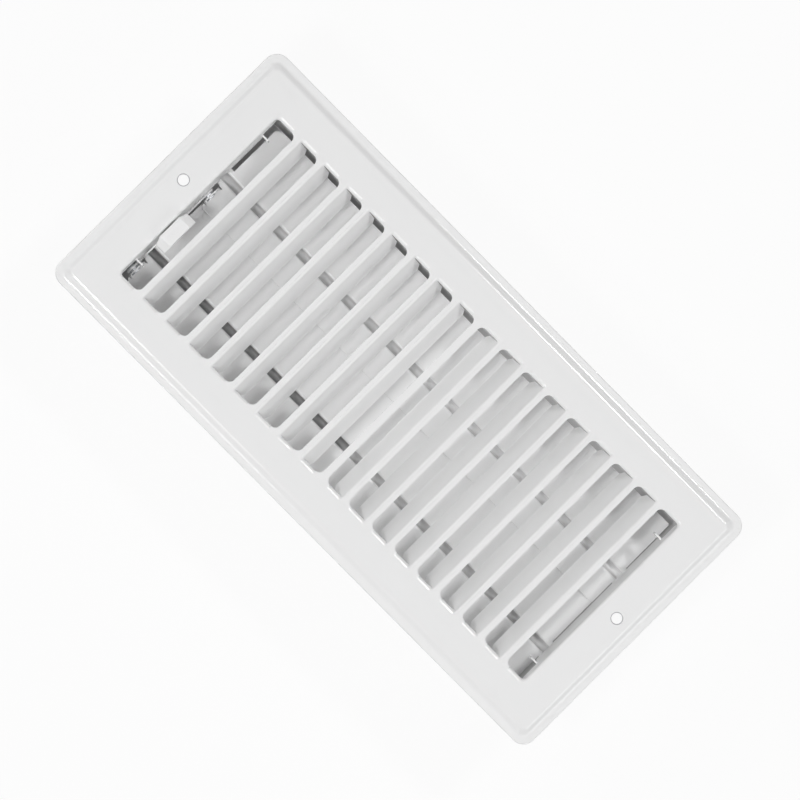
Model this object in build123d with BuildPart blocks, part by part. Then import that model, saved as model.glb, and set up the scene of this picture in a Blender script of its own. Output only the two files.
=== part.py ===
from build123d import *
from math import atan2, cos, radians, sin, tan
import os

os.makedirs("parts", exist_ok=True)

# Steel ceiling register: a stamped two-way louver face, and behind it a folded box
# with a two-blade damper that a knob in the end slot opens through a link bar.
# Origin midway between the screw holes on the face's underside. X runs along the
# long side, with the lever at the -X end, and Z points out of the face into the room.

# Face sheet and its pressed rim
face_length = 289.0
face_width = 137.0
face_corner = 6.3
face_sheet = 0.8
rim_flat = 3.5
rim_slope = 2.5
rim_step = 2.0
rim_foot_corner = 4.0
rim_top_corner = 2.5
rim_bend = 1.0
edge_break = 0.3
screw_border = 12.1
screw_hole_radius = 2.4
screw_dimple = 0.4

# Louvers, lanced from the face and bent down towards the centre rib
louvers_per_side = 8
end_border = 19.95
slot_length = 94.6
louver_angle = 60.0
louver_bend = 0.9
bar_flat = 1.7
centre_rib = 3.4
centre_slot = 11.5
end_slot = 12.84
slot_corner = 2.6
tail_corner = 1.8
lance_gap = 0.2
lip_bend = 1.6
lip_angle = 62.0

# End tongues, bent down inside the box, each with its ends slit and turned in as tabs
tongue_depth = 11.0
tongue_angle = 81.0
tongue_bend = 0.7
tongue_corner = 2.0
tab_place = 37.9
tab_reach = 4.0
tab_height = 4.0
tab_below_face = 6.0
tab_bend = 0.5
tab_slack = 0.2

# Damper box
box_sheet = 0.7
box_depth = 60.0
box_end_gap = 0.2
box_side_gap = 0.4
box_corner = 1.5
flange_width = 8.0
flange_bend = 0.5

# Damper blades, alike, each with a pressed groove that turns in the end walls
blade_sheet = 0.6
blade_narrow = 16.9
blade_lap = 3.0
blade_side_gap = 2.1
blade_narrow_gap = 1.3
blade_end_gap = 4.3
blade_far_gap = 1.15
blade_corner = 2.0
blade_far_corner = 0.6
blade_tilt = 1.2
pivot_depth = 27.2
groove_width = 3.7
groove_bend = 0.65
groove_rise = 1.0
pivot_tab_width = 8.8
pivot_tab_gap = 0.3
pivot_reach = 0.8
pivot_clearance = 0.08

# Crank ears, rivets, link bar and knob at the lever end
crank_back = 11.2
crank_up = 8.5
ear_base = 9.0
ear_offset = 1.5
ear_top = 6.4
ear_above_pin = 3.2
ear_corner = 1.0
ear_bend = 0.6
ear_relief = 0.5
rivet_radius = 1.6
rivet_head_radius = 2.4
rivet_head = 0.7
rivet_tail = 0.6
rivet_bevel = 0.3
rivet_seat = 0.02
link_sheet = 0.8
link_gap = 0.9
link_play = 0.06
link_below_pin = 3.5
link_above_pin = 2.6
link_shoulder = 26.0
link_neck = 9.0
link_neck_rise = 3.2
link_jog = 1.95
link_jog_run = 3.5
link_bend = 1.2
knob_shift = 0.27
knob_length = 18.7
knob_width = 6.5
knob_height = 6.5
knob_stands_proud = 4.0
knob_bevel_run = 3.6
knob_bevel_drop = 2.6
knob_side_chamfer = 1.5
knob_round = 0.4
knob_seat = 0.05
knob_cover = 2.4

# Places worked out from the sizes above
half_sheet = face_sheet / 2
rim_inset = rim_flat + rim_slope
rim_shift = face_sheet * tan(atan2(rim_step, rim_slope) / 2)
screw_x = face_length / 2 - screw_border
slot_half = slot_length / 2
lip_start = slot_half + (lip_bend + face_sheet) * sin(radians(lip_angle))
tongue_start = face_length / 2 - end_border
first_bend = centre_rib / 2 + centre_slot
last_bend = tongue_start - end_slot - bar_flat
louver_pitch = (last_bend - first_bend) / (louvers_per_side - 1)
bends = [first_bend + n * louver_pitch for n in range(louvers_per_side)]
slot_starts = [centre_rib / 2] + [bend + bar_flat for bend in bends]
slot_ends = bends + [tongue_start]
lip_ends = [bend - lance_gap for bend in bends] + [tongue_start - box_corner]
flap_half = slot_half - lance_gap
flap_arc = (louver_bend + half_sheet) * radians(louver_angle)
flap_straight = centre_slot - lance_gap - flap_arc
louver_bottom = (
    half_sheet
    - (louver_bend + half_sheet) * (1 - cos(radians(louver_angle)))
    - flap_straight * sin(radians(louver_angle))
    - half_sheet * cos(radians(louver_angle))
)
tongue_lean = radians(tongue_angle)
tongue_bottom = face_sheet - tongue_depth
tongue_root_x = tongue_start - (tongue_bend + half_sheet) * sin(tongue_lean)
tongue_root_z = half_sheet - (tongue_bend + half_sheet) * (1 - cos(tongue_lean))
tongue_straight = (tongue_root_z - tongue_bottom) / sin(tongue_lean)
tab_top = face_sheet - tab_below_face
tab_root_x = tongue_root_x - (tongue_root_z - tab_top) / tan(tongue_lean)
tab_bend_start = tab_place - half_sheet - tab_bend
wall_x = tongue_root_x + half_sheet * sin(tongue_lean) + box_end_gap
wall_y = slot_half + face_sheet + box_side_gap
blade_width = wall_y + (blade_lap - blade_side_gap - blade_narrow_gap) / 2
blade_wide = blade_width - blade_narrow
pivot_ys = [wall_y - blade_side_gap - blade_wide]
pivot_ys.append(pivot_ys[0] - blade_width + blade_lap)
groove_middle = (groove_width + blade_sheet) / 2
pivot_radius = (groove_width + 2 * blade_sheet) / 2
blade_end = wall_x - blade_end_gap
blade_far_end = wall_x - blade_far_gap
ear_root = -blade_end + ear_bend + 2 * blade_sheet
ear_middle = ear_offset - crank_back
tilt = radians(blade_tilt)
crank_y = -crank_back * cos(tilt) + crank_up * sin(tilt)
crank_z = crank_back * sin(tilt) + crank_up * cos(tilt)
pin_ys = [pivot_y + crank_y for pivot_y in pivot_ys]
pin_z = crank_z - pivot_depth
link_inner = -blade_end - link_gap
link_outer = link_inner - link_sheet
link_middle = (link_inner + link_outer) / 2
link_top = pin_z + link_above_pin
knob_x = link_middle + link_jog
knob_place = (pin_ys[0] + pin_ys[1]) / 2 + knob_shift
neck_start = link_top + link_neck_rise
knob_top = face_sheet + knob_stands_proud
knob_bottom = knob_top - knob_height
knob_flat = knob_length - 2 * knob_bevel_run
neck_end = knob_top - knob_cover


# Face plate: rim pressed down to the ceiling, then slots, louvers, lips and tongues
def inset_outline(inset, radius):
    RectangleRounded(face_length - 2 * inset, face_width - 2 * inset, radius)


with BuildPart() as louver_tails:
    with BuildSketch(Plane.XZ):
        for side in (-1, 1):
            for bend in bends:
                with BuildLine():
                    turn = JernArc(
                        start=(side * bend, half_sheet),
                        tangent=(-side, 0),
                        radius=louver_bend + half_sheet,
                        arc_size=side * louver_angle,
                    )
                    PolarLine(start=turn @ 1, length=flap_straight, direction=turn % 1)
                trace(line_width=face_sheet)
    extrude(amount=flap_half, both=True)
    with BuildSketch(Plane.YZ) as tail_outline:
        with Locations((0, (face_sheet + louver_bottom) / 2)):
            Rectangle(2 * flap_half, face_sheet - louver_bottom)
        chamfer(tail_outline.vertices().group_by(Axis.Y)[0], length=tail_corner)
    extrude(amount=tongue_start, both=True, mode=Mode.INTERSECT)

with BuildPart() as end_tongues:
    with BuildSketch(Plane.XZ):
        for side in (-1, 1):
            with BuildLine():
                turn = JernArc(
                    start=(side * tongue_start, half_sheet),
                    tangent=(-side, 0),
                    radius=tongue_bend + half_sheet,
                    arc_size=side * tongue_angle,
                )
                PolarLine(start=turn @ 1, length=tongue_straight, direction=turn % 1)
            trace(line_width=face_sheet)
    extrude(amount=flap_half, both=True)
    with BuildSketch(Plane.YZ) as tongue_outline:
        with Locations((0, (face_sheet + tab_top + tab_slack) / 2)):
            Rectangle(2 * flap_half, face_sheet - tab_top - tab_slack)
        fillet(tongue_outline.vertices().group_by(Axis.Y)[0], radius=tongue_corner)
        with Locations((0, (face_sheet + tongue_bottom) / 2)):
            Rectangle(2 * tab_bend_start, tongue_depth)
    extrude(amount=tongue_start, both=True, mode=Mode.INTERSECT)
    for side in (-1, 1):
        inwards = Vector(-side * sin(tongue_lean), 0, cos(tongue_lean))
        downwards = Vector(-side * cos(tongue_lean), 0, -sin(tongue_lean))
        with BuildSketch(Plane(origin=(side * tab_root_x, 0, tab_top), x_dir=inwards, z_dir=downwards)):
            for end in (-1, 1):
                with BuildLine():
                    FilletPolyline(
                        (0, end * (tab_bend_start - tab_bend)),
                        (0, end * tab_place),
                        (tab_reach, end * tab_place),
                        radius=tab_bend + half_sheet,
                    )
                trace(line_width=face_sheet)
        extrude(amount=tab_height)

with BuildPart() as slot_lips:
    with BuildSketch(Plane.YZ):
        for end in (-1, 1):
            with BuildLine():
                JernArc(
                    start=(end * lip_start, half_sheet),
                    tangent=(-end, 0),
                    radius=lip_bend + half_sheet,
                    arc_size=end * lip_angle,
                )
            trace(line_width=face_sheet)
    extrude(amount=tongue_start, both=True)
    with BuildSketch(Plane.XY.offset(face_sheet)) as lip_strips:
        for side in (-1, 1):
            for start, end in zip(slot_starts, lip_ends):
                with Locations((side * (start + slot_corner + end) / 2, 0)):
                    Rectangle(end - start - slot_corner, 2 * lip_start)
    extrude(amount=-face_sheet - lip_bend, mode=Mode.INTERSECT)

with BuildPart() as face_plate:
    with BuildSketch(Plane.XY.offset(-rim_step)):
        inset_outline(0, face_corner)
    extrude(amount=face_sheet)
    with BuildSketch(Plane.XY.offset(face_sheet - rim_step)):
        inset_outline(rim_flat, rim_foot_corner)
    with BuildSketch(Plane.XY.offset(face_sheet)):
        inset_outline(rim_inset, rim_top_corner)
    loft(ruled=True)
    rim_band = face_plate.faces().filter_by(Plane.XY).group_by(Axis.Z)[1][0]
    fillet(rim_band.inner_wires()[0].edges(), radius=rim_bend)
    fillet(face_plate.faces().sort_by(Axis.Z)[-1].edges(), radius=rim_bend)
    rim_band = face_plate.faces().filter_by(Plane.XY).group_by(Axis.Z)[1][0]
    chamfer(rim_band.outer_wire().edges(), length=edge_break)
    with BuildSketch(Plane.XY.offset(-rim_step)):
        inset_outline(rim_flat + rim_shift, rim_foot_corner)
    with BuildSketch(Plane.XY):
        inset_outline(rim_inset + rim_shift, rim_top_corner)
    loft(ruled=True, mode=Mode.SUBTRACT)
    with BuildSketch(Plane.XY) as slots:
        for side in (-1, 1):
            for start, end in zip(slot_starts, slot_ends):
                with Locations((side * (start + end) / 2, 0)):
                    Rectangle(end - start, 2 * slot_half)
        fixed_side = slots.vertices().filter_by(
            lambda corner: min(abs(abs(corner.X) - start) for start in slot_starts) < lance_gap
        )
        fillet(fixed_side, radius=slot_corner)
        add(lip_strips.sketch)
    extrude(amount=face_sheet, mode=Mode.SUBTRACT)
    add(louver_tails.part)
    add(end_tongues.part)
    add(slot_lips.part)
    with Locations((-screw_x, 0, face_sheet), (screw_x, 0, face_sheet)):
        CounterSinkHole(screw_hole_radius, screw_hole_radius + screw_dimple, counter_sink_angle=90)
face_plate.part.label = "face_plate"
export_step(face_plate.part, "parts/face_plate.step")


# Damper box: one strip folded into a ring, its long sides turned out at the top
# into flanges that are welded to the back of the face
with BuildPart() as damper_box:
    with BuildSketch(Plane.XY.offset(-box_depth)):
        RectangleRounded(2 * (wall_x + box_sheet), 2 * (wall_y + box_sheet), box_corner + box_sheet)
        RectangleRounded(2 * wall_x, 2 * wall_y, box_corner, mode=Mode.SUBTRACT)
    extrude(amount=box_depth - flange_bend - box_sheet)
    with BuildSketch(Plane.YZ):
        for end in (-1, 1):
            with BuildLine():
                FilletPolyline(
                    (end * (wall_y + box_sheet / 2), -2 * (flange_bend + box_sheet)),
                    (end * (wall_y + box_sheet / 2), -box_sheet / 2),
                    (end * (wall_y + box_sheet + flange_width), -box_sheet / 2),
                    radius=flange_bend + box_sheet / 2,
                )
            trace(line_width=box_sheet)
    extrude(amount=wall_x - box_corner, both=True)
    with BuildSketch(Plane.YZ):
        with Locations(*[(pivot_y, -pivot_depth) for pivot_y in pivot_ys]):
            Circle(pivot_radius + pivot_clearance)
    extrude(amount=wall_x + 2 * box_sheet, both=True, mode=Mode.SUBTRACT)
damper_box.part.label = "damper_box"
export_step(damper_box.part, "parts/damper_box.step")


# Damper blades: a sheet with a pressed groove whose ends turn in the box's end walls,
# and a crank ear bent up at the lever end. Each closes at a slight tilt, so that
# the first one's narrow edge laps over the second one's wide edge.
for number, pivot_y in enumerate(pivot_ys, 1):
    pivot = Vector(0, pivot_y, -pivot_depth)
    section = Plane(origin=pivot, x_dir=(0, cos(tilt), -sin(tilt)), z_dir=(1, 0, 0))
    flat = Plane(origin=pivot, x_dir=(1, 0, 0), z_dir=(0, sin(tilt), cos(tilt)))
    ear_fold = Plane(origin=pivot, x_dir=(1, 0, 0), z_dir=(0, -cos(tilt), sin(tilt)))

    with BuildPart() as crank_ear:
        with BuildSketch(ear_fold):
            with BuildLine():
                FilletPolyline(
                    (ear_root, groove_rise),
                    (-blade_end + blade_sheet / 2, groove_rise),
                    (-blade_end + blade_sheet / 2, crank_up + ear_above_pin),
                    radius=ear_bend + blade_sheet / 2,
                )
            trace(line_width=blade_sheet)
        extrude(amount=blade_narrow, both=True)
        with BuildSketch(section) as ear_outline:
            with BuildLine():
                Polyline(
                    (ear_middle - ear_base / 2, groove_rise - blade_sheet / 2),
                    (ear_middle + ear_base / 2, groove_rise - blade_sheet / 2),
                    (ear_top / 2 - crank_back, crank_up + ear_above_pin),
                    (-ear_top / 2 - crank_back, crank_up + ear_above_pin),
                    close=True,
                )
            make_face()
            fillet(ear_outline.vertices().group_by(Axis.Y)[-1], radius=ear_corner)
            with Locations((-crank_back, crank_up)):
                Circle(rivet_radius + rivet_seat, mode=Mode.SUBTRACT)
        extrude(amount=blade_end, both=True, mode=Mode.INTERSECT)

    with BuildPart() as damper_blade:
        with BuildSketch(section):
            with BuildLine():
                FilletPolyline(
                    (blade_wide, groove_rise),
                    (groove_middle, groove_rise),
                    (groove_middle, 0),
                    radius=groove_bend + blade_sheet / 2,
                )
                RadiusArc((groove_middle, 0), (-groove_middle, 0), groove_middle)
                FilletPolyline(
                    (-groove_middle, 0),
                    (-groove_middle, groove_rise),
                    (-blade_narrow, groove_rise),
                    radius=groove_bend + blade_sheet / 2,
                )
            trace(line_width=blade_sheet)
        extrude(amount=wall_x - pivot_tab_gap, both=True)
        with BuildSketch(flat) as blade_outline:
            with Locations(((blade_far_end - blade_end) / 2, (blade_wide - blade_narrow) / 2)):
                Rectangle(blade_far_end + blade_end, blade_width)
            chamfer(blade_outline.vertices().group_by(Axis.X)[0], length=blade_corner)
            chamfer(blade_outline.vertices().group_by(Axis.X)[-1], length=blade_far_corner)
            Rectangle(2 * (wall_x - pivot_tab_gap), pivot_tab_width)
            with Locations(((ear_root - blade_end) / 2, ear_middle)):
                Rectangle(ear_root + blade_end, ear_base + 2 * ear_relief, mode=Mode.SUBTRACT)
        extrude(amount=pivot_depth, both=True, mode=Mode.INTERSECT)
        with BuildSketch(section):
            with BuildLine():
                RadiusArc((groove_middle, 0), (-groove_middle, 0), groove_middle)
            trace(line_width=blade_sheet)
        extrude(amount=wall_x + box_sheet + pivot_reach, both=True)
        add(crank_ear.part)
    damper_blade.part.label = f"damper_blade_{number}"
    export_step(damper_blade.part, f"parts/damper_blade_{number}.step")


# Crank rivets: each peened into its ear, with the link bar held loosely under the head
for number, pin_y in enumerate(pin_ys, 1):
    pin = Vector(0, pin_y, pin_z)
    with BuildPart() as crank_rivet:
        with BuildSketch(Plane(origin=pin, x_dir=(1, 0, 0), z_dir=(0, -1, 0))):
            with BuildLine():
                Polyline(
                    (-blade_end + blade_sheet + rivet_tail, 0),
                    (-blade_end + blade_sheet + rivet_tail, rivet_head_radius),
                    (-blade_end + blade_sheet, rivet_head_radius),
                    (-blade_end + blade_sheet, rivet_radius),
                    (-blade_end, rivet_radius),
                    (-blade_end, rivet_head_radius),
                    (link_inner + link_play, rivet_head_radius),
                    (link_inner + link_play, rivet_radius),
                    (link_outer - link_play, rivet_radius),
                    (link_outer - link_play, rivet_head_radius),
                    (link_outer - link_play - rivet_head + rivet_bevel, rivet_head_radius),
                    (link_outer - link_play - rivet_head, rivet_head_radius - rivet_bevel),
                    (link_outer - link_play - rivet_head, 0),
                    close=True,
                )
            make_face()
        revolve(axis=Axis(pin, (1, 0, 0)))
    crank_rivet.part.label = f"crank_rivet_{number}"
    export_step(crank_rivet.part, f"parts/crank_rivet_{number}.step")


# Link bar: a flat strip over the two rivets, with a neck that jogs in under the slot
with BuildPart() as link_bar:
    with BuildSketch(Plane.YZ.offset(link_outer)) as strip:
        with Locations(((pin_ys[0] + pin_ys[1]) / 2, pin_z + (link_above_pin - link_below_pin) / 2)):
            Rectangle(
                pin_ys[0] - pin_ys[1] + link_above_pin + link_below_pin,
                link_above_pin + link_below_pin,
            )
        fillet(strip.vertices(), radius=link_above_pin)
        with BuildLine():
            Polyline(
                (knob_place - link_shoulder / 2, link_top),
                (knob_place + link_shoulder / 2, link_top),
                (knob_place + link_neck / 2, neck_start),
                (knob_place - link_neck / 2, neck_start),
                close=True,
            )
        make_face()
        with Locations(*[(pin_y, pin_z) for pin_y in pin_ys]):
            Circle(rivet_radius + pivot_clearance, mode=Mode.SUBTRACT)
    extrude(amount=link_sheet)
    with BuildSketch(Plane.XZ.offset(-knob_place)):
        with BuildLine():
            FilletPolyline(
                (link_middle, link_top),
                (link_middle, neck_start),
                (knob_x, neck_start + link_jog_run),
                (knob_x, neck_end),
                radius=link_bend,
            )
        trace(line_width=link_sheet)
    extrude(amount=link_neck / 2, both=True)
link_bar.part.label = "link_bar"
export_step(link_bar.part, "parts/link_bar.step")


# Lever knob: a moulded cap with bevelled ends, pushed over the link bar's neck
with BuildPart() as lever_knob:
    with BuildSketch(Plane.XY.offset(knob_bottom)):
        with BuildLine(Plane.XY.move(Location((knob_x, knob_place, 0)))):
            Polyline(
                (-knob_width / 2, knob_flat / 2),
                (-knob_width / 2 + knob_side_chamfer, knob_length / 2),
                (knob_width / 2, knob_length / 2),
                (knob_width / 2, -knob_length / 2),
                (-knob_width / 2 + knob_side_chamfer, -knob_length / 2),
                (-knob_width / 2, -knob_flat / 2),
                close=True,
            )
        make_face()
    extrude(amount=knob_height)
    with BuildSketch(Plane.YZ.offset(knob_x)):
        with BuildLine():
            Polyline(
                (knob_place - knob_length / 2, knob_bottom),
                (knob_place + knob_length / 2, knob_bottom),
                (knob_place + knob_length / 2, knob_top - knob_bevel_drop),
                (knob_place + knob_flat / 2, knob_top),
                (knob_place - knob_flat / 2, knob_top),
                (knob_place - knob_length / 2, knob_top - knob_bevel_drop),
                close=True,
            )
        make_face()
    extrude(amount=knob_width, both=True, mode=Mode.INTERSECT)
    fillet(lever_knob.edges().group_by(Axis.Z)[-1], radius=knob_round)
    with BuildSketch(Plane.XY.offset(knob_bottom)):
        with Locations((knob_x, knob_place)):
            Rectangle(link_sheet + 2 * knob_seat, link_neck + 2 * knob_seat)
    extrude(amount=neck_end + knob_seat - knob_bottom, mode=Mode.SUBTRACT)
lever_knob.part.label = "lever_knob"
export_step(lever_knob.part, "parts/lever_knob.step")
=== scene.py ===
from math import cos, pi, radians, sin

import bmesh
import bpy
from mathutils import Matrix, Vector


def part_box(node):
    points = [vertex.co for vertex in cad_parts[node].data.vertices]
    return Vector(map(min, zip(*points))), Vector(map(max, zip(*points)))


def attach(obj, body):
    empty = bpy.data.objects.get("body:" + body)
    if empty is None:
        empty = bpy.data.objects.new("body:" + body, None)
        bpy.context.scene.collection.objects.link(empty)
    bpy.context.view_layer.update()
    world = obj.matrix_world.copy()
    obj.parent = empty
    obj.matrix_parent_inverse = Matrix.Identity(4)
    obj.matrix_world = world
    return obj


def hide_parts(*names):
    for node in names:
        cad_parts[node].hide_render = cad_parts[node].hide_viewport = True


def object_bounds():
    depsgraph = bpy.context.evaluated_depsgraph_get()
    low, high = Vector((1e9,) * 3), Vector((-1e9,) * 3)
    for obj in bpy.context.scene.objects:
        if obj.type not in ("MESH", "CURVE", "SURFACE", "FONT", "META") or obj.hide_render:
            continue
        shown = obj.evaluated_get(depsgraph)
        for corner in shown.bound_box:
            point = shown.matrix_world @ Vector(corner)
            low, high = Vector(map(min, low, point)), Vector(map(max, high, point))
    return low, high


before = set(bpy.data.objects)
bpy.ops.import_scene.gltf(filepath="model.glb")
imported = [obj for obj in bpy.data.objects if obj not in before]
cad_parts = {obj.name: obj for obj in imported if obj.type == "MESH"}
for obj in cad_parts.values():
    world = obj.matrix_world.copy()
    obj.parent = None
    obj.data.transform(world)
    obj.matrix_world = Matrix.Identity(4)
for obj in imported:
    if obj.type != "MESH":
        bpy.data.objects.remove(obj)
cad_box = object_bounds()


# Face plate: one steel sheet with a pressed rim, drawn slot ends and bent end tongues,
# sprayed with glossy white enamel that rounds its cut edges. The faces that slope into
# the two screw holes take a darker grey metal finish.
def packed_skin(node, piece_name):
    mesh = bpy.data.meshes.new(piece_name)
    skin = bmesh.new()
    skin.from_mesh(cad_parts[node].data)
    bmesh.ops.remove_doubles(skin, verts=skin.verts, dist=2e-6)
    bmesh.ops.dissolve_limit(skin, angle_limit=radians(0.2), verts=skin.verts, edges=skin.edges)
    skin.to_mesh(mesh)
    skin.free()
    for layer in ("custom_normal", "sharp_face", "sharp_edge"):
        if layer in mesh.attributes:
            mesh.attributes.remove(mesh.attributes[layer])
    mesh.shade_smooth()
    piece = bpy.data.objects.new(piece_name, mesh)
    bpy.context.scene.collection.objects.link(piece)
    return piece


def round_edges(piece, edge_round):
    bevel = piece.modifiers.new("edge_round", "BEVEL")
    bevel.width = edge_round
    bevel.segments = 2
    bevel.limit_method = "ANGLE"
    bevel.angle_limit = radians(40)
    bevel.use_clamp_overlap = True
    bevel.harden_normals = True


# Every finish here changes slowly in tone and gloss and has a fine grain or orange peel.
finish_nodes = bpy.data.node_groups.new("surface_finish", "ShaderNodeTree")
for socket, kind, value in (
    ("Tone", "NodeSocketColor", (0.8, 0.8, 0.8, 1)),
    ("Tone Change", "NodeSocketFloat", 0.02),
    ("Gloss", "NodeSocketFloat", 0.3),
    ("Grain Size", "NodeSocketFloat", 900.0),
):
    finish_nodes.interface.new_socket(socket, in_out="INPUT", socket_type=kind).default_value = value
for socket, kind in (
    ("Color", "NodeSocketColor"),
    ("Roughness", "NodeSocketFloat"),
    ("Height", "NodeSocketFloat"),
):
    finish_nodes.interface.new_socket(socket, in_out="OUTPUT", socket_type=kind)
given = finish_nodes.nodes.new("NodeGroupInput")
result = finish_nodes.nodes.new("NodeGroupOutput")
place = finish_nodes.nodes.new("ShaderNodeTexCoord")
cloud = finish_nodes.nodes.new("ShaderNodeTexNoise")
cloud.inputs["Scale"].default_value = 22.0
cloud.inputs["Detail"].default_value = 3.0
grain = finish_nodes.nodes.new("ShaderNodeTexNoise")
grain.inputs["Detail"].default_value = 1.0
centred = finish_nodes.nodes.new("ShaderNodeMath")
centred.operation = "SUBTRACT"
centred.inputs[1].default_value = 0.5
spread = finish_nodes.nodes.new("ShaderNodeMath")
spread.operation = "MULTIPLY_ADD"
spread.inputs[2].default_value = 1.0
tint = finish_nodes.nodes.new("ShaderNodeVectorMath")
tint.operation = "SCALE"
gloss_shift = finish_nodes.nodes.new("ShaderNodeMath")
gloss_shift.operation = "MULTIPLY_ADD"
gloss_shift.inputs[1].default_value = 0.08
finish_nodes.links.new(place.outputs["Object"], cloud.inputs["Vector"])
finish_nodes.links.new(place.outputs["Object"], grain.inputs["Vector"])
finish_nodes.links.new(given.outputs["Grain Size"], grain.inputs["Scale"])
finish_nodes.links.new(cloud.outputs["Fac"], centred.inputs[0])
finish_nodes.links.new(centred.outputs[0], spread.inputs[0])
finish_nodes.links.new(given.outputs["Tone Change"], spread.inputs[1])
finish_nodes.links.new(given.outputs["Tone"], tint.inputs[0])
finish_nodes.links.new(spread.outputs[0], tint.inputs["Scale"])
finish_nodes.links.new(centred.outputs[0], gloss_shift.inputs[0])
finish_nodes.links.new(given.outputs["Gloss"], gloss_shift.inputs[2])
finish_nodes.links.new(tint.outputs[0], result.inputs["Color"])
finish_nodes.links.new(gloss_shift.outputs[0], result.inputs["Roughness"])
finish_nodes.links.new(grain.outputs["Fac"], result.inputs["Height"])


def finish(name, tone, gloss, grain_depth, metal=0.0):
    material = bpy.data.materials.new(name)
    material.use_nodes = True
    nodes, links = material.node_tree.nodes, material.node_tree.links
    shader = nodes["Principled BSDF"]
    shader.inputs["Metallic"].default_value = metal
    coat = nodes.new("ShaderNodeGroup")
    coat.node_tree = finish_nodes
    coat.inputs["Tone"].default_value = (*tone, 1)
    coat.inputs["Gloss"].default_value = gloss
    bump = nodes.new("ShaderNodeBump")
    bump.inputs["Distance"].default_value = grain_depth
    links.new(coat.outputs["Color"], shader.inputs["Base Color"])
    links.new(coat.outputs["Roughness"], shader.inputs["Roughness"])
    links.new(coat.outputs["Height"], bump.inputs["Height"])
    links.new(bump.outputs["Normal"], shader.inputs["Normal"])
    return material


face = packed_skin("face_plate", "painted_face")
face_enamel = finish("face_enamel", (0.95, 0.95, 0.95), 0.12, 0.000003)
face.data.materials.append(face_enamel)
face.data.materials.append(finish("dark_hole_ring", (0.45, 0.45, 0.46), 0.4, 0.000002, metal=1.0))
face_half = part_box("face_plate")[1]
face_sheet = 0.0008
sheet = bmesh.new()
sheet.from_mesh(face.data)

# The louvers are made below, so the sheet is opened along each of their bends.
louver_count = 8
first_bend = 0.0132
louver_pitch = 0.01383
louver_half = 0.0471
louver_bend = 0.0013
louver_lean = radians(60)
flap_reach = 0.0066
mesh_slack = 0.00001
screw_border = 0.0121
screw_place = face_half.x - screw_border
countersink = 0.003
nearly_level = 0.95
flap_faces = []
for flat in sheet.faces:
    past_first = [abs(corner.co.x) - first_bend for corner in flat.verts]
    row = max(0, round((max(past_first) + flap_reach / 2) / louver_pitch))
    to_bend = [louver_pitch * row - along for along in past_first]
    in_flap = all(-mesh_slack <= gap <= flap_reach for gap in to_bend)
    in_length = all(abs(corner.co.y) <= louver_half + mesh_slack for corner in flat.verts)
    if row < louver_count and in_flap and in_length:
        flap_faces.append(flat)
    middle = flat.calc_center_median()
    from_screw = Vector((abs(middle.x) - screw_place, middle.y)).length
    if from_screw < countersink and flat.normal.z < nearly_level:
        flat.material_index = 1
bmesh.ops.delete(sheet, geom=flap_faces, context="FACES")

# The press leaves both bends of the rim broad and soft: each grows about its own line.
rim_flat = 0.0035
rim_slope = 0.0025
rim_step = 0.0020
rim_top_corner = 0.0025
rim_foot_corner = 0.0040
bend_reach = 0.0004
bend_rise = 0.00025
bend_growth = 1.6
for corner in sheet.verts:
    for inset, rim_corner, height in (
        (rim_flat + rim_slope, rim_top_corner, face_sheet),
        (rim_flat, rim_foot_corner, face_sheet - rim_step),
    ):
        out_x = abs(corner.co.x) - face_half.x + inset + rim_corner
        out_y = abs(corner.co.y) - face_half.y + inset + rim_corner
        if min(out_x, out_y) > 0:
            way = Vector((out_x, out_y)).normalized()
        else:
            way = Vector((out_x > out_y, out_x <= out_y))
        past = way.dot(Vector((out_x, out_y))) - rim_corner
        if abs(past) < bend_reach and abs(corner.co.z - height) < bend_rise:
            corner.co.x += way.x * past * bend_growth * (1 if corner.co.x > 0 else -1)
            corner.co.y += way.y * past * bend_growth * (1 if corner.co.y > 0 else -1)
            corner.co.z += (corner.co.z - height) * bend_growth
            break

# A slot end is drawn down in one sweep with the bend beside it, so that corner is round.
lip_start = 0.04942
lip_radius = 0.0024
lip_turn = radians(62)
louver_corner = 0.0006
tongue_start = 0.12455
tongue_bend = 0.0015
tongue_turn = radians(81)
tongue_corner = 0.0020
corner_steps = 12
bend_steps = 8
tucked_under = 0.000003
lapped = 1.0001


def drawn_corner(bend_start, bend_radius, bend_turn, corner_round, side_x, side_y):
    hub_x = bend_start - bend_radius * sin(bend_turn) - corner_round
    hub_y = lip_start - lip_radius * sin(lip_turn) - corner_round
    wide = bend_start - hub_x
    deep = lip_start - hub_y
    last_line = []
    for step in range(corner_steps + 1):
        turn = pi / 2 * step / corner_steps
        to_bend, to_lip = cos(turn), sin(turn)
        square = lapped / max(to_bend, to_lip)
        section = [(wide * square, deep * square, 0.0)]
        for bent in range(bend_steps + 1):
            at_bend = bend_turn * bent / bend_steps
            at_lip = lip_turn * bent / bend_steps
            fall = to_bend**2 * bend_radius * (1 - cos(at_bend))
            fall += to_lip**2 * lip_radius * (1 - cos(at_lip))
            section.append((wide - bend_radius * sin(at_bend), deep - lip_radius * sin(at_lip), fall))
        line = []
        for out_x, out_y, fall in section:
            x = side_x * (hub_x + out_x * to_bend)
            y = side_y * (hub_y + out_y * to_lip)
            line.append(sheet.verts.new((x, y, face_sheet - tucked_under - fall)))
        for outer, inner, next_inner, next_outer in zip(last_line, last_line[1:], line[1:], line):
            patch = sheet.faces.new((outer, inner, next_inner, next_outer))
            patch.smooth = True
            patch.normal_update()
            if patch.normal.z < 0:
                patch.normal_flip()
        last_line = line


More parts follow.
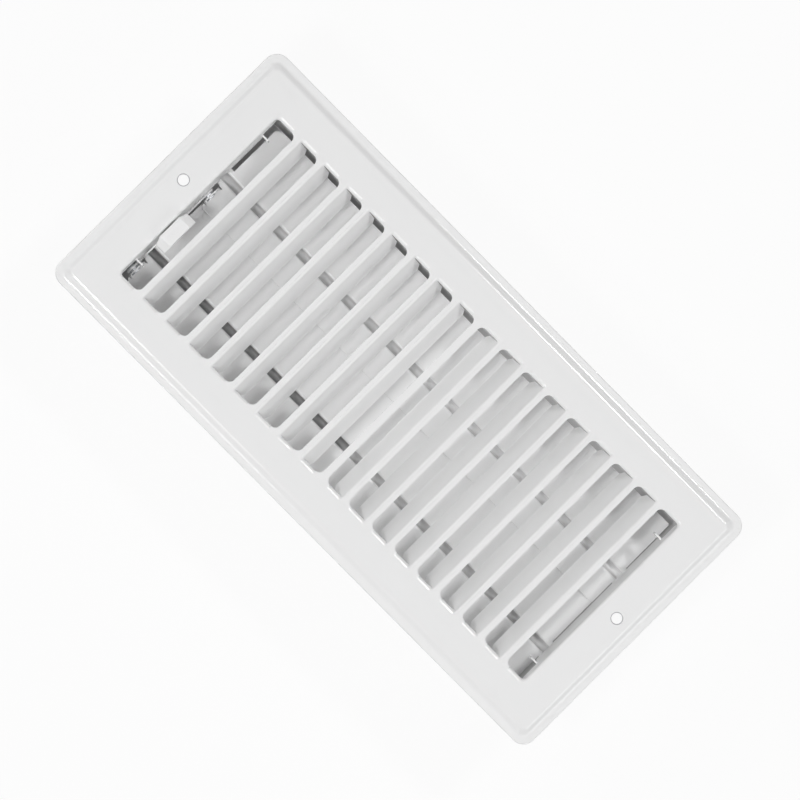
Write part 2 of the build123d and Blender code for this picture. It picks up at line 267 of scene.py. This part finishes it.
for side_x, side_y in ((1, 1), (1, -1), (-1, 1), (-1, -1)):
    for number in range(louver_count):
        bend_start = first_bend + louver_pitch * number
        outer_bend = louver_bend + face_sheet / 2
        drawn_corner(bend_start, outer_bend, louver_lean, louver_corner, side_x, side_y)
    drawn_corner(tongue_start, tongue_bend, tongue_turn, tongue_corner, side_x, side_y)
sheet.to_mesh(face.data)
sheet.free()
round_edges(face, 0.00012)
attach(face, "register")
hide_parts("face_plate")


# Louvers: sixteen flaps lanced from the face sheet and bent down, eight on each side
# of the centre rib and leaning towards it, in the enamel of the sheet they hang from.
# One flap is swept from its bent section, then set along both rows.
rows = bpy.data.node_groups.new("louver_rows", "GeometryNodeTree")
rows.interface.new_socket("Louvers", in_out="OUTPUT", socket_type="NodeSocketGeometry")
louver_sizes = {
    "Count": ("NodeSocketInt", louver_count),
    "First Bend": ("NodeSocketFloat", first_bend),
    "Pitch": ("NodeSocketFloat", louver_pitch),
    "Length": ("NodeSocketFloat", 2 * louver_half),
    "Sheet": ("NodeSocketFloat", face_sheet),
    "Bend Radius": ("NodeSocketFloat", louver_bend),
    "Lean": ("NodeSocketFloat", louver_lean),
    "Straight": ("NodeSocketFloat", 0.00994),
    "Corner": ("NodeSocketFloat", 0.0018),
    "Paint": ("NodeSocketMaterial", face_enamel),
}
for socket, (kind, value) in louver_sizes.items():
    rows.interface.new_socket(socket, in_out="INPUT", socket_type=kind)
asked = rows.nodes.new("NodeGroupInput")


def math_node(operation, first, second=0):
    node = rows.nodes.new("ShaderNodeMath")
    node.operation = operation
    for value, socket in ((first, node.inputs[0]), (second, node.inputs[1])):
        if isinstance(value, (int, float)):
            socket.default_value = value
        else:
            rows.links.new(value, socket)
    return node.outputs[0]


def point_node(x, y, z):
    node = rows.nodes.new("ShaderNodeCombineXYZ")
    for value, socket in ((x, node.inputs[0]), (y, node.inputs[1]), (z, node.inputs[2])):
        if isinstance(value, (int, float)):
            socket.default_value = value
        else:
            rows.links.new(value, socket)
    return node.outputs[0]


lean = asked.outputs["Lean"]
lean_sine = math_node("SINE", lean)
lean_cosine = math_node("COSINE", lean)
half_lean = math_node("TANGENT", math_node("DIVIDE", lean, 2))
tangent = math_node("MULTIPLY", asked.outputs["Bend Radius"], half_lean)
flap = math_node("ADD", tangent, asked.outputs["Straight"])
whole = math_node("SUBTRACT", flap, math_node("DIVIDE", asked.outputs["Corner"], lean_sine))
section = [point_node(0, 0, 0), point_node(math_node("MULTIPLY", tangent, -1), 0, 0)]
for run in (whole, flap):
    across = math_node("ADD", tangent, math_node("MULTIPLY", run, lean_cosine))
    down = math_node("MULTIPLY", run, lean_sine)
    section.append(point_node(math_node("MULTIPLY", across, -1), 0, math_node("MULTIPLY", down, -1)))
corner_line = math_node("SUBTRACT", math_node("DIVIDE", asked.outputs["Corner"], 2), down)

order = rows.nodes.new("GeometryNodeInputIndex")
chosen = rows.nodes.new("GeometryNodeIndexSwitch")
chosen.data_type = "VECTOR"
chosen.index_switch_items.new()
chosen.index_switch_items.new()
rows.links.new(order.outputs[0], chosen.inputs["Index"])
for number, point in enumerate(section):
    rows.links.new(point, chosen.inputs[number + 1])
points = rows.nodes.new("GeometryNodeMeshLine")
points.inputs["Count"].default_value = len(section)
shaped = rows.nodes.new("GeometryNodeSetPosition")
rows.links.new(points.outputs[0], shaped.inputs["Geometry"])
rows.links.new(chosen.outputs[0], shaped.inputs["Position"])
path = rows.nodes.new("GeometryNodeMeshToCurve")
rows.links.new(shaped.outputs[0], path.inputs["Mesh"])
at_bend = rows.nodes.new("FunctionNodeCompare")
at_bend.data_type = "INT"
at_bend.operation = "EQUAL"
at_bend.inputs[3].default_value = 1
rows.links.new(order.outputs[0], at_bend.inputs[2])
bent = rows.nodes.new("GeometryNodeFilletCurve")
bent.mode = "POLY"
bent.inputs["Count"].default_value = 8
rows.links.new(path.outputs[0], bent.inputs["Curve"])
bend_only = math_node("MULTIPLY", asked.outputs["Bend Radius"], at_bend.outputs[0])
rows.links.new(bend_only, bent.inputs["Radius"])
level = rows.nodes.new("GeometryNodeSetCurveNormal")
level.mode = "Z_UP"
rows.links.new(bent.outputs[0], level.inputs["Curve"])
strip = rows.nodes.new("GeometryNodeCurvePrimitiveQuadrilateral")
rows.links.new(asked.outputs["Length"], strip.inputs["Width"])
rows.links.new(asked.outputs["Sheet"], strip.inputs["Height"])
swept = rows.nodes.new("GeometryNodeCurveToMesh")
swept.inputs["Fill Caps"].default_value = True
rows.links.new(level.outputs[0], swept.inputs["Curve"])
rows.links.new(strip.outputs[0], swept.inputs["Profile Curve"])

spot = rows.nodes.new("GeometryNodeInputPosition")
spot_parts = rows.nodes.new("ShaderNodeSeparateXYZ")
rows.links.new(spot.outputs[0], spot_parts.inputs[0])
cropped = rows.nodes.new("GeometryNodeSetPosition")
rows.links.new(swept.outputs[0], cropped.inputs["Geometry"])
rows.links.new(math_node("LESS_THAN", spot_parts.outputs["Z"], corner_line), cropped.inputs["Selection"])
inwards = math_node("MULTIPLY", math_node("SIGN", spot_parts.outputs["Y"]), asked.outputs["Corner"])
rows.links.new(point_node(0, math_node("MULTIPLY", inwards, -1), 0), cropped.inputs["Offset"])
smooth = rows.nodes.new("GeometryNodeSetShadeSmooth")
rows.links.new(cropped.outputs[0], smooth.inputs["Geometry"])

bend_line = rows.nodes.new("GeometryNodeMeshLine")
rows.links.new(asked.outputs["Count"], bend_line.inputs["Count"])
mid_sheet = math_node("DIVIDE", asked.outputs["Sheet"], 2)
rows.links.new(point_node(asked.outputs["First Bend"], 0, mid_sheet), bend_line.inputs["Start Location"])
rows.links.new(point_node(asked.outputs["Pitch"], 0, 0), bend_line.inputs["Offset"])
right_row = rows.nodes.new("GeometryNodeInstanceOnPoints")
rows.links.new(bend_line.outputs[0], right_row.inputs["Points"])
rows.links.new(smooth.outputs[0], right_row.inputs["Instance"])
left_row = rows.nodes.new("GeometryNodeTransform")
left_row.inputs["Rotation"].default_value = (0, 0, pi)
rows.links.new(right_row.outputs[0], left_row.inputs["Geometry"])
both_rows = rows.nodes.new("GeometryNodeJoinGeometry")
rows.links.new(right_row.outputs[0], both_rows.inputs[0])
rows.links.new(left_row.outputs[0], both_rows.inputs[0])
real = rows.nodes.new("GeometryNodeRealizeInstances")
rows.links.new(both_rows.outputs[0], real.inputs["Geometry"])
painted = rows.nodes.new("GeometryNodeSetMaterial")
rows.links.new(real.outputs[0], painted.inputs["Geometry"])
rows.links.new(asked.outputs["Paint"], painted.inputs["Material"])
made = rows.nodes.new("NodeGroupOutput")
rows.links.new(painted.outputs[0], made.inputs[0])

louvers = bpy.data.objects.new("painted_louvers", bpy.data.meshes.new("painted_louvers"))
bpy.context.scene.collection.objects.link(louvers)
maker = louvers.modifiers.new("louver_rows", "NODES")
maker.node_group = rows
for item in rows.interface.items_tree:
    if item.in_out == "INPUT":
        maker[item.identifier] = louver_sizes[item.name][1]
bpy.context.view_layer.update()
evaluated = louvers.evaluated_get(bpy.context.evaluated_depsgraph_get())
louver_mesh = bpy.data.meshes.new_from_object(evaluated)
louvers.modifiers.remove(maker)
louvers.data = louver_mesh
round_edges(louvers, 0.0001)
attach(louvers, "register")


# Damper box: a steel strip folded into a ring behind the face and spot welded to its
# back by two turned-out flanges, in the same white enamel.
box = packed_skin("damper_box", "painted_box")
box.data.materials.append(finish("box_enamel", (0.95, 0.95, 0.95), 0.16, 0.000003))
round_edges(box, 0.0001)
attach(box, "register")
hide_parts("damper_box")


# Damper blades: two thin white sheets, each with a pressed groove that stiffens it and
# turns in the end walls, and an ear bent up at the lever end for the crank rivet. The
# inside of each groove carries painted shade in darker greys, darkest in the lever's half of the lower
# blade.
blade_enamel = finish("blade_enamel", (0.95, 0.95, 0.95), 0.16, 0.000003)
# Painted shade: the three darker greys below stand in for the shade inside the grooves.
groove_shade_faint = finish("groove_shade_faint", (0.80, 0.80, 0.80), 0.3, 0.000004)
groove_shade_mid = finish("groove_shade_mid", (0.62, 0.62, 0.62), 0.4, 0.000004)
groove_shade_deep = finish("groove_shade_deep", (0.27, 0.27, 0.27), 0.4, 0.000004)
blade_paint_and_groove_shades = [blade_enamel, groove_shade_faint, groove_shade_mid, groove_shade_deep]
groove_half = 0.0021
groove_top = -0.0278
leans_in = -0.0003
faces_up = 0.5
for node, body, pivot_y, lever_half_shade, far_half_shade in (
    ("damper_blade_1", "upper_blade", 0.0150, groove_shade_mid, groove_shade_faint),
    ("damper_blade_2", "lower_blade", -0.0303, groove_shade_deep, groove_shade_mid),
):
    blade = packed_skin(node, node.replace("damper", "painted"))
    for coat in blade_paint_and_groove_shades:
        blade.data.materials.append(coat)
    pressing = bmesh.new()
    pressing.from_mesh(blade.data)
    everything = pressing.verts[:] + pressing.edges[:] + pressing.faces[:]
    bmesh.ops.bisect_plane(pressing, geom=everything, plane_co=(0, 0, 0), plane_no=(1, 0, 0))
    for flat in pressing.faces:
        middle = flat.calc_center_median()
        across = middle.y - pivot_y
        shows = flat.normal.y * across < leans_in or flat.normal.z > faces_up
        if abs(across) < groove_half and middle.z < groove_top and shows:
            flat.material_index = blade_paint_and_groove_shades.index(lever_half_shade if middle.x < 0 else far_half_shade)
    pressing.to_mesh(blade.data)
    pressing.free()
    round_edges(blade, 0.00008)
    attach(blade, body)
    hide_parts(node)


# Crank rivets: two zinc plated steel shoulder rivets, each riveted into a blade's ear.
# The link bar turns on their shoulders, under the heads.
zinc = finish("rivet_zinc", (0.50, 0.51, 0.53), 0.45, 0.000002, metal=1.0)
for node, body in (("crank_rivet_1", "upper_blade"), ("crank_rivet_2", "lower_blade")):
    rivet = packed_skin(node, node.replace("crank", "plated"))
    rivet.data.materials.append(zinc)
    round_edges(rivet, 0.00008)
    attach(rivet, body)
    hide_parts(node)


# Link bar: a flat white steel bar hung on both rivets, with a joggled upstand in its
# middle that carries the knob up through the end slot.
link = packed_skin("link_bar", "painted_link")
link.data.materials.append(finish("link_enamel", (0.95, 0.95, 0.95), 0.16, 0.000003))
round_edges(link, 0.0001)
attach(link, "lever")
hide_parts("link_bar")


# Lever knob: a smooth white moulded plastic cap with bevelled ends, pressed on the link
# bar's upstand, that slides along the end slot under a finger.
knob = packed_skin("lever_knob", "moulded_knob")
knob.data.materials.append(finish("knob_plastic", (0.95, 0.95, 0.95), 0.3, 0.000002))
round_edges(knob, 0.0002)
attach(knob, "lever")
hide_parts("lever_knob")


# Floor: a plain pale board under the register. It shows white to the camera and in
# reflections and keeps some of the shadow. Inside the duct mouth it glows faintly, and
# more between the louvers of the half away from the lever.
floor_mesh = bpy.data.meshes.new("studio_floor")
floor_half = 3.0
floor_gap = 0.0002
floor_z = cad_box[0][2] - floor_gap
floor_mesh.from_pydata(
    [(-floor_half, -floor_half, floor_z), (floor_half, -floor_half, floor_z),
     (floor_half, floor_half, floor_z), (-floor_half, floor_half, floor_z)],
    [], [(0, 1, 2, 3)])
floor = bpy.data.objects.new("studio_floor", floor_mesh)
bpy.context.scene.collection.objects.link(floor)
board = bpy.data.materials.new("floor_board")
board.use_nodes = True
nodes, links = board.node_tree.nodes, board.node_tree.links
nodes.remove(nodes["Principled BSDF"])


def seen_ways(tree):
    ray = tree.nodes.new("ShaderNodeLightPath")
    total = ray.outputs["Is Camera Ray"]
    for way in ("Is Glossy Ray", "Is Transmission Ray"):
        both = tree.nodes.new("ShaderNodeMath")
        both.operation = "MAXIMUM"
        tree.links.new(total, both.inputs[0])
        tree.links.new(ray.outputs[way], both.inputs[1])
        total = both.outputs[0]
    return total


lit = nodes.new("ShaderNodeBsdfDiffuse")
lit.inputs["Color"].default_value = (0.85, 0.85, 0.85, 1)
white = nodes.new("ShaderNodeEmission")
on_floor = nodes.new("ShaderNodeTexCoord")
apart = nodes.new("ShaderNodeSeparateXYZ")
links.new(on_floor.outputs["Object"], apart.inputs[0])
mouth_half = {"X": 0.1240, "Y": 0.0485}
beyond = []
for axis, reach in mouth_half.items():
    size = nodes.new("ShaderNodeMath")
    size.operation = "ABSOLUTE"
    links.new(apart.outputs[axis], size.inputs[0])
    past = nodes.new("ShaderNodeMath")
    past.operation = "GREATER_THAN"
    past.inputs[1].default_value = reach
    links.new(size.outputs[0], past.inputs[0])
    beyond.append(past)
outside = nodes.new("ShaderNodeMath")
outside.operation = "MAXIMUM"
links.new(beyond[0].outputs[0], outside.inputs[0])
links.new(beyond[1].outputs[0], outside.inputs[1])
open_white = nodes.new("ShaderNodeMath")
open_white.operation = "MULTIPLY"
open_white.inputs[1].default_value = 0.92
links.new(seen_ways(board.node_tree), open_white.inputs[0])
glow_middle = 0.054
along = nodes.new("ShaderNodeMath")
along.operation = "SUBTRACT"
along.inputs[1].default_value = glow_middle
links.new(apart.outputs["X"], along.inputs[0])
away = nodes.new("ShaderNodeMath")
away.operation = "ABSOLUTE"
links.new(along.outputs[0], away.inputs[0])
inner_glow = nodes.new("ShaderNodeMapRange")
for socket, value in (("From Min", 0.046), ("From Max", 0.060), ("To Min", 0.22), ("To Max", 0.03)):
    inner_glow.inputs[socket].default_value = value
links.new(away.outputs[0], inner_glow.inputs["Value"])
amount = nodes.new("ShaderNodeMix")
links.new(inner_glow.outputs["Result"], amount.inputs["A"])
links.new(outside.outputs[0], amount.inputs["Factor"])
links.new(open_white.outputs[0], amount.inputs["B"])
mix = nodes.new("ShaderNodeMixShader")
links.new(amount.outputs["Result"], mix.inputs[0])
links.new(lit.outputs[0], mix.inputs[1])
links.new(white.outputs[0], mix.inputs[2])
links.new(mix.outputs[0], nodes["Material Output"].inputs["Surface"])
floor_mesh.materials.append(board)

# Studio light: a white surround that lights little, lamps over both long sides for the
# shadows in the slots and the highlights on the bends, and low softboxes on three sides
# that bring the rim's slopes up to the tone of the face.
world = bpy.data.worlds.new("studio")
bpy.context.scene.world = world
world.use_nodes = True
surround = world.node_tree.nodes["Background"]
surround.inputs["Color"].default_value = (1, 1, 1, 1)
strength = world.node_tree.nodes.new("ShaderNodeMath")
strength.operation = "MAXIMUM"
strength.inputs[1].default_value = 0.02
world.node_tree.links.new(seen_ways(world.node_tree), strength.inputs[0])
world.node_tree.links.new(strength.outputs[0], surround.inputs["Strength"])
for name, stand_place, long_size, short_size, power in (
    ("near_lamp", (-0.24, -0.61, 1.44), 0.25, 0.25, 5.75),
    ("near_strip", (-0.08, -0.90, 1.27), 0.36, 0.16, 2.6),
    ("near_softbox", (0.0, -1.25, 0.60), 0.90, 0.90, 2.05),
    ("far_lamp", (0.18, 0.90, 1.30), 0.30, 0.20, 7.2),
    ("left_softbox", (-1.13, 0.0, 0.75), 0.90, 0.90, 4.0),
    ("right_softbox", (1.08, 0.0, 0.70), 0.80, 0.80, 4.1),
):
    lamp = bpy.data.lights.new(name, "AREA")
    lamp.shape = "ELLIPSE"
    lamp.size = long_size
    lamp.size_y = short_size
    lamp.energy = power
    stand = bpy.data.objects.new(name, lamp)
    stand.location = stand_place
    stand.rotation_euler = (-Vector(stand_place)).to_track_quat("-Z", "Y").to_euler()
    bpy.context.scene.collection.objects.link(stand)

# Camera: a long lens above the register, at the photograph's viewing angle.
lens = bpy.data.cameras.new("camera")
lens.lens = 210.37
lens.sensor_width = 36.0
camera = bpy.data.objects.new("camera", lens)
camera.location = (-0.1132, -0.0886, 2.0)
camera.rotation_euler = (radians(-0.5166), radians(-4.0684), radians(45.2771))
bpy.context.scene.collection.objects.link(camera)
bpy.context.scene.camera = camera
bpy.context.scene.view_settings.view_transform = "Standard"
